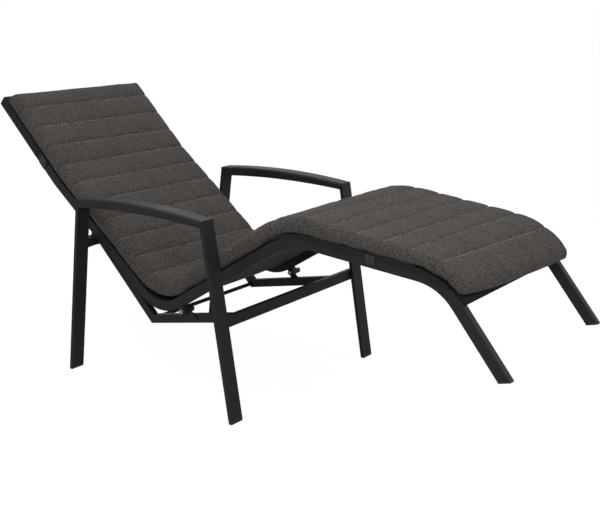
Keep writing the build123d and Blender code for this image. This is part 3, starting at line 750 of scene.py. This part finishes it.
def make_sheet_tree():
    """A sheet of cloth swept along a line in the side view, with a sag and a curved hem."""
    tree, source, result = new_group(
        "sheet_along_frame", "GeometryNodeTree",
        [("Line", GEOMETRY, None), ("Width", FLOAT, 0.5), ("Length", FLOAT, 1.0),
         ("Sag", FLOAT, 0.0), ("Hem Curve", FLOAT, 0.0), ("Columns", INTEGER, 20),
         ("Rows", INTEGER, 100), ("Cloth", MATERIAL, None)],
        [("Sheet", GEOMETRY)])
    curve = add_node(tree, "GeometryNodeMeshToCurve", None, Mesh=source.outputs["Line"])
    grid = add_node(tree, "GeometryNodeMeshGrid", None, _0=1.0, _1=1.0,
                    _2=source.outputs["Columns"], _3=source.outputs["Rows"])
    place = add_node(tree, "ShaderNodeSeparateXYZ", None,
                     _0=tree.nodes.new("GeometryNodeInputPosition").outputs[0])
    across = place.outputs[0]
    along = maths(tree, "ADD", place.outputs[1], 0.5)
    edge = maths(tree, "MULTIPLY", across, 2.0)
    bow = maths(tree, "SUBTRACT", 1.0, maths(tree, "MULTIPLY", edge, edge))
    hem = maths(tree, "DIVIDE", source.outputs["Hem Curve"], source.outputs["Length"])
    reach = maths(tree, "SUBTRACT", 1.0, maths(tree, "MULTIPLY", hem, bow))
    factor = maths(tree, "MULTIPLY", along, reach)
    sample = add_node(tree, "GeometryNodeSampleCurve", {"mode": "FACTOR"}, Curves=curve.outputs[0],
                      Factor=factor)
    up = vector_maths(tree, "CROSS_PRODUCT", sample.outputs["Tangent"], (1.0, 0.0, 0.0))
    drop = maths(tree, "MULTIPLY", maths(tree, "MULTIPLY", bow, source.outputs["Sag"]), -1.0)
    side = maths(tree, "MULTIPLY", across, source.outputs["Width"])
    offset = vector_maths(tree, "ADD", scaled(tree, up, drop), combine(tree, side, 0.0, 0.0))
    end = vector_maths(tree, "ADD", sample.outputs["Position"], offset)
    run = maths(tree, "MULTIPLY", factor, source.outputs["Length"])
    kept = add_node(tree, "GeometryNodeStoreNamedAttribute",
                    {"data_type": "FLOAT2", "domain": "CORNER"}, Geometry=grid.outputs[0],
                    Name="cloth", Value=combine(tree, side, run, 0.0))
    moved = add_node(tree, "GeometryNodeSetPosition", None, Geometry=kept.outputs[0], Position=end)
    real = add_node(tree, "GeometryNodeRealizeInstances", None, Geometry=moved.outputs[0])
    smooth = add_node(tree, "GeometryNodeSetShadeSmooth", None, Geometry=real.outputs[0])
    done = add_node(tree, "GeometryNodeSetMaterial", None, Geometry=smooth.outputs[0],
                    Material=source.outputs["Cloth"])
    tree.links.new(done.outputs[0], result.inputs[0])
    return tree


sheet_tree = make_sheet_tree()
LINE_STEP = 0.008


def side_path(line, start, end, height):
    """Points along a line in the side view, in the middle of the lounger."""
    steps = max(2, round((end - start) / LINE_STEP))
    return [line.place(start + (end - start) * i / steps, 0.0, height) for i in range(steps + 1)]


def lay_sheet(name, path, width, cloth, thickness, columns, sag=0.0, hem_curve=0.0):
    """A sheet with its cloth's thickness, laid along a path."""
    length = sum((b - a).length for a, b in zip(path[:-1], path[1:]))
    piece = run_tree(lines_object(name, [path]), sheet_tree, Width=width, Length=length, Sag=sag,
                     Hem_Curve=hem_curve, Columns=columns, Rows=max(3, round(length / LINE_STEP)),
                     Cloth=cloth)
    thicken(piece, thickness, 0.0)
    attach(piece, "lounge")
    return piece, length


SLING_HEIGHT = 0.009
SLING_THICKNESS = 0.0016
SLING_SAG = 0.003
SLING_HEAD_INSET = 0.012
SLING_HEM_CURVE = 0.034
BEAD_WIDTH = 0.003
sling_half = LOUNGE_WIDTH / 2 - RAIL_WIDTH - BEAD_WIDTH
sling_line = SideLine(
    beside([head_tip - head_rise * SLING_HEAD_INSET] + rail_middle_corners
           + [foot_corner + foot_fall * SLING_HEM_RUN], SLING_HEIGHT),
    (RAIL_BENDS[0] - SLING_HEIGHT, RAIL_BENDS[1] - SLING_HEIGHT,
     RAIL_BENDS[2] + SLING_HEIGHT, RAIL_BENDS[3] + SLING_HEIGHT))
sling, sling_length = lay_sheet(
    "sling_sheet", side_path(sling_line, 0.0, sling_line.length, 0.0), 2 * sling_half, sling_cloth,
    SLING_THICKNESS, columns=40, sag=SLING_SAG, hem_curve=SLING_HEM_CURVE)
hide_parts("sling")

# The fabric strip under the pad's foot end

STRIP_RUN = 0.330
STRIP_THICKNESS = 0.0022
STRIP_GAP = 0.0026
STRIP_INSET = 0.010
strip_half = PAD_WIDTH / 2 - STRIP_INSET
strip, strip_length = lay_sheet(
    "foot_fabric_sheet",
    side_path(pad_line, pad_length - STRIP_RUN, pad_length, -STRIP_GAP),
    2 * strip_half, trim_cloth, STRIP_THICKNESS, columns=30)
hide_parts("foot_fabric")

# The pocket over the head end of the rails

POCKET_RUN = 0.235
POCKET_SKIN, POCKET_CLOSENESS = 0.0024, 0.7
POCKET_CLOTH = 0.0014
POCKET_TOP_DROP = 0.0012
POCKET_ROUND, SMALLEST_ROUND = 0.007, 0.0005
POCKET_HOLLOW, HOLLOW_REACH = 0.005, 0.12
SLACK_HEIGHT, SLACK_WAVES = 0.0012, (14, 17, 1.3)
CREASE_SHARE, CREASE_WAVES = 0.0007, (30, 60, 22)
POCKET_COLUMNS, POCKET_CORNER_COLUMNS, POCKET_ROWS = 40, 5, 28
END_RINGS = (2.2, 1.4)
END_ANGLES = (0, 15, 30, 45, 60, 75, 90)
BEYOND_POCKET = 0.05
HEM_INSET, HEM_LIFT = 0.008, 0.0003
pocket_line = SideLine([head_tip + head_rise * POCKET_SKIN,
                        head_tip - head_rise * (POCKET_RUN + BEYOND_POCKET)], ())
pocket_top = pad_height - POCKET_TOP_DROP
pocket_low = -(RAIL_HEIGHT / 2 + POCKET_SKIN * POCKET_CLOSENESS)
pocket_half = LOUNGE_WIDTH / 2 + POCKET_SKIN * POCKET_CLOSENESS


def round_corner(x, height, radius, start):
    """Points round a quarter of a circle, after an angle at which it starts."""
    angles = [math.radians(start + 90 * (i + 1) / POCKET_CORNER_COLUMNS)
              for i in range(POCKET_CORNER_COLUMNS)]
    return [(x + radius * math.cos(angle), height + radius * math.sin(angle)) for angle in angles]


def pocket_ring(distance, inset):
    """A ring round the rails' head ends: flat under the pad, hollow across the back."""
    half, top, low = pocket_half - inset, pocket_top - inset, pocket_low + inset
    corner = max(SMALLEST_ROUND, POCKET_ROUND - inset)
    outline = []
    for i in range(POCKET_COLUMNS + 1):
        x = -half + corner + 2 * (half - corner) * i / POCKET_COLUMNS
        hollow = smooth_step((half - RAIL_WIDTH - abs(x)) / HOLLOW_REACH)
        slack = wave((x, distance, 1), SLACK_WAVES) * SLACK_HEIGHT * hollow
        outline.append((x, low + POCKET_HOLLOW * hollow + slack))
    outline += round_corner(half - corner, low + corner, corner, -90)
    outline += round_corner(half - corner, top - corner, corner, 0)
    outline += [(half - corner - 2 * (half - corner) * (i + 1) / POCKET_COLUMNS, top)
                for i in range(POCKET_COLUMNS)]
    outline += round_corner(-half + corner, top - corner, corner, 90)
    outline += round_corner(-half + corner, low + corner, corner, 180)
    row = []
    for x, height, run in with_run(outline):
        crease = wave((x, height, distance), CREASE_WAVES) * CREASE_SHARE
        row.append((pocket_line.place(distance, x * (1 + crease), height), run, distance))
    return row


pocket_rows = [pocket_ring(0.0, POCKET_ROUND * inset) for inset in END_RINGS]
for angle in END_ANGLES:
    turn = math.radians(angle)
    pocket_rows.append(pocket_ring(POCKET_ROUND * (1 - math.cos(turn)),
                                   POCKET_ROUND * (1 - math.sin(turn))))
pocket_rows += [pocket_ring(POCKET_ROUND + (POCKET_RUN - POCKET_ROUND) * (i + 1) / POCKET_ROWS, 0.0)
                for i in range(POCKET_ROWS)]
pocket = cloth_mesh("head_pocket_cloth", pocket_rows, trim_cloth, closed=True)
# close its end with one face
shape = bmesh.new()
shape.from_mesh(pocket.data)
shape.verts.ensure_lookup_table()
first_ring = [e for e in shape.edges if e.is_boundary
              and all(v.index < len(pocket_rows[0]) for v in e.verts)]
bmesh.ops.contextual_create(shape, geom=first_ring)
bmesh.ops.recalc_face_normals(shape, faces=shape.faces)
shape.to_mesh(pocket.data)
shape.free()
thicken(pocket, POCKET_CLOTH, -1.0)
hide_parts("head_pocket")
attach(pocket, "lounge")

pocket_hem = [entry[0] for entry in pocket_ring(POCKET_RUN - HEM_INSET, -HEM_LIFT)]
sew("pocket_hem_stitches", [pocket_hem], trim_thread, "strip_fabric",
    Stitch_Length=0.004, Stitch_Gap=0.0014, Thread_Thickness=0.0009)

# The dark bands that hang from the pad's sides, beside the calf part of the rails

# distance along the pad, the band's upper height and its lower height over the pad's underside
BAND_DRAPE = (
    (1.335, 0.0, 0.0), (1.370, 0.001, -0.002), (1.430, 0.003, -0.006), (1.500, 0.004, -0.011),
    (1.600, 0.0045, -0.013), (1.650, 0.0045, -0.0125), (1.700, 0.005, -0.009),
    (1.760, 0.007, -0.009), (1.800, 0.006, -0.011), (1.850, -0.001, -0.017),
    (1.895, -0.004, -0.019), (1.925, -0.001, -0.0165), (1.940, 0.0, -0.011),
    (1.948, -0.004, -0.004))
BAND_STEP = 0.010
BAND_THICKNESS = 0.0016
BAND_ROWS = 6
BAND_WAVE, BAND_WAVES = 0.0012, (22, 40, 1)
RAIL_CLEARANCE = 0.0008


def band_edges(distance):
    """The band's upper and lower height at a distance along the pad."""
    for before, after in zip(BAND_DRAPE[:-1], BAND_DRAPE[1:]):
        if distance <= after[0]:
            break
    share = smooth_step((distance - before[0]) / (after[0] - before[0]))
    return [before[i] + (after[i] - before[i]) * share for i in (1, 2)]


def pad_side(distance, height):
    """How far out the pad's side reaches at a height over its underside."""
    level = min(1.0, max(-1.0, 2 * height / edge_height(distance) - 1))
    return PAD_WIDTH / 2 - PAD_SIDE_ROUND * (1 - (1 - level * level) ** (PAD_SIDE_POWER / 2))


def lay_band(name, side):
    """The band beside the pad, on the side of +X for 1 and of -X for -1."""
    start, end = BAND_DRAPE[0][0], BAND_DRAPE[-1][0]
    steps = math.ceil((end - start) / BAND_STEP)
    rows = []
    for distance in [start + BAND_STEP * i for i in range(steps)] + [end]:
        high, low = band_edges(distance)
        outline = []
        for i in range(BAND_ROWS + 1):
            height = low + (high - low) * i / BAND_ROWS
            reach = max(LOUNGE_WIDTH / 2 + RAIL_CLEARANCE, pad_side(distance, height))
            reach += BAND_WAVE * wave((distance, height, side), BAND_WAVES) ** 2
            outline.append((reach, height))
        ring = [(reach + BAND_THICKNESS, height) for reach, height in outline] + outline[::-1]
        rows.append([(pad_line.place(lying_askew(distance, side * reach), side * reach, height),
                      reach + height, distance) for reach, height in ring + ring[:1]])
    band = cloth_mesh(name, rows, trim_cloth, closed=True)
    weld(band)
    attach(band, "lounge")


lay_band("pad_side_band_left", 1)
lay_band("pad_side_band_right", -1)

# The straps that hold the pad to the rails, round the rails' outsides, and the studs beside them

HEAD_STRAP_START, CALF_TAB_START = 0.226, 1.677
STRAP_WIDTH = 0.028
STRAP_THICKNESS = 0.0012
# from the pad's underside, down outside the rail and under it, to its inner face
STRAP_PATH = (
    (0.2714, 0.0200), (0.2716, 0.0140), (0.2714, 0.0085), (0.2692, 0.0040), (0.2682, -0.0040),
    (0.2682, -0.0125), (0.2676, -0.0152), (0.2655, -0.0165), (0.2575, -0.0167),
    (0.2485, -0.0165), (0.2464, -0.0150), (0.2462, -0.0100), (0.2462, 0.0020))
STRAP_ROWS = 5
STRAP_CLOTH_STEP = 0.003
CALF_TAB_POINTS = 5
STUD_RADIUS, STUD_TAPER, STUD_DEPTH = 0.0036, 0.85, 0.002
STUD_AFTER, STUD_HEIGHT, STUD_REACH = 0.034, 0.0095, 0.2716


def lay_strap(name, start, path, side):
    """A strap as wide as STRAP_WIDTH, along a path round the rail of one side."""
    rows = []
    for i in range(STRAP_ROWS + 1):
        distance = start + STRAP_WIDTH * i / STRAP_ROWS
        rows.append([(pad_line.place(distance, side * x, height - pad_height),
                      STRAP_CLOTH_STEP * j, distance) for j, (x, height) in enumerate(path)])
    strap = cloth_mesh(name, rows, shaded_strap_cloth, closed=False)
    thicken(strap, STRAP_THICKNESS, 0.0)
    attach(strap, "lounge")


def add_stud(name, side):
    """A small round stud on the outside of the rail, with its narrow end outwards."""
    centre = pad_line.place(CALF_TAB_START + STUD_AFTER, side * STUD_REACH,
                            STUD_HEIGHT - pad_height)
    outwards = Matrix.Rotation(math.radians(90 * side), 4, "Y")
    shape = bmesh.new()
    bmesh.ops.create_cone(shape, cap_ends=True, segments=24, radius1=STUD_RADIUS,
                          radius2=STUD_RADIUS * STUD_TAPER, depth=STUD_DEPTH,
                          matrix=Matrix.Translation(centre) @ outwards)
    mesh = bpy.data.meshes.new(name)
    shape.to_mesh(mesh)
    shape.free()
    mesh.materials.append(black_plastic)
    stud = add_object(name, mesh)
    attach(stud, "lounge")


for side_name, side in (("left", 1), ("right", -1)):
    lay_strap("pad_strap_head_" + side_name, HEAD_STRAP_START, STRAP_PATH, side)
    lay_strap("pad_strap_calf_" + side_name, CALF_TAB_START, STRAP_PATH[:CALF_TAB_POINTS], side)
    add_stud("strap_stud_" + side_name, side)

# The studio

FLOOR_REACH = 40
FLOOR_TONE = 0.85
SEEN_GLOW, SEEN_GLOW_SHARE = 1.1, 0.88
WORLD_LIGHT, WORLD_SEEN = 0.3, 1.0
# each lamp's place, the point it is aimed at, its size and its power
LAMPS = {
    "key_lamp": ((-2.5, -1.5, 2.3), (-0.1, 0, 0.4), 1.8, 25),
    "side_lamp": ((0.6, -3.2, 2.6), (0, -0.6, 0.4), 2.0, 14),
    "top_lamp": ((-0.6, 0.2, 3.4), (0, 0, 0.4), 2.6, 32),
}


def make_studio_floor():
    """A matte floor that takes the shadow, and is seen as pale."""
    material = bpy.data.materials.new("studio_floor")
    material.use_nodes = True
    tree = material.node_tree
    tree.nodes.clear()
    output = tree.nodes.new("ShaderNodeOutputMaterial")
    path = tree.nodes.new("ShaderNodeLightPath")
    seen = maths(tree, "MULTIPLY", path.outputs["Is Camera Ray"], SEEN_GLOW_SHARE)
    matte = add_node(tree, "ShaderNodeBsdfDiffuse", None,
                     Color=(FLOOR_TONE, FLOOR_TONE, FLOOR_TONE, 1.0))
    glow = add_node(tree, "ShaderNodeEmission", None, Color=(1.0, 1.0, 1.0, 1.0),
                    Strength=SEEN_GLOW)
    both = add_node(tree, "ShaderNodeMixShader", None, _0=seen, _1=matte.outputs[0],
                    _2=glow.outputs[0])
    tree.links.new(both.outputs[0], output.inputs[0])
    return material


floor_mesh = bpy.data.meshes.new("studio_floor")
floor_mesh.from_pydata(
    [(x * FLOOR_REACH, y * FLOOR_REACH, 0) for x, y in ((-1, -1), (1, -1), (1, 1), (-1, 1))],
    [], [(0, 1, 2, 3)])
floor_mesh.materials.append(make_studio_floor())
floor = add_object("studio_floor", floor_mesh)

world = bpy.data.worlds.new("studio_world")
bpy.context.scene.world = world
world.use_nodes = True
world_tree = world.node_tree
sky = world_tree.nodes["Background"]
path = world_tree.nodes.new("ShaderNodeLightPath")
shown = maths(world_tree, "MAXIMUM", path.outputs["Is Camera Ray"],
              maths(world_tree, "MAXIMUM", path.outputs["Is Glossy Ray"],
                    path.outputs["Is Transmission Ray"]))
world_tree.links.new(between(world_tree, shown, 0.0, 1.0, WORLD_LIGHT, WORLD_SEEN),
                     sky.inputs["Strength"])
sky.inputs["Color"].default_value = (1.0, 1.0, 1.0, 1.0)

for name, (place, aim, size, power) in LAMPS.items():
    lamp = bpy.data.lights.new(name, "AREA")
    lamp.shape, lamp.size, lamp.energy = "DISK", size, power
    holder = add_object(name, lamp)
    holder.location = place
    holder.rotation_euler = (Vector(aim) - Vector(place)).to_track_quat("-Z", "Y").to_euler()

# The camera, at the photograph's viewing angle

CAMERA_PLACE = Vector((-2.24812, -1.87466, 1.20286))
CAMERA_TURN, CAMERA_PITCH, CAMERA_ROLL = -51.845, 15.413, -0.216
SENSOR_WIDTH, LENS = 36.0, 59.79
camera_data = bpy.data.cameras.new("camera")
camera_data.sensor_width, camera_data.lens = SENSOR_WIDTH, LENS
camera = add_object("camera", camera_data)
camera.matrix_world = (Matrix.Translation(CAMERA_PLACE)
                       @ Matrix.Rotation(math.radians(CAMERA_TURN), 4, "Z")
                       @ Matrix.Rotation(math.radians(90 - CAMERA_PITCH), 4, "X")
                       @ Matrix.Rotation(math.radians(CAMERA_ROLL), 4, "Z"))
bpy.context.scene.camera = camera
bpy.context.scene.view_settings.view_transform = "Standard"
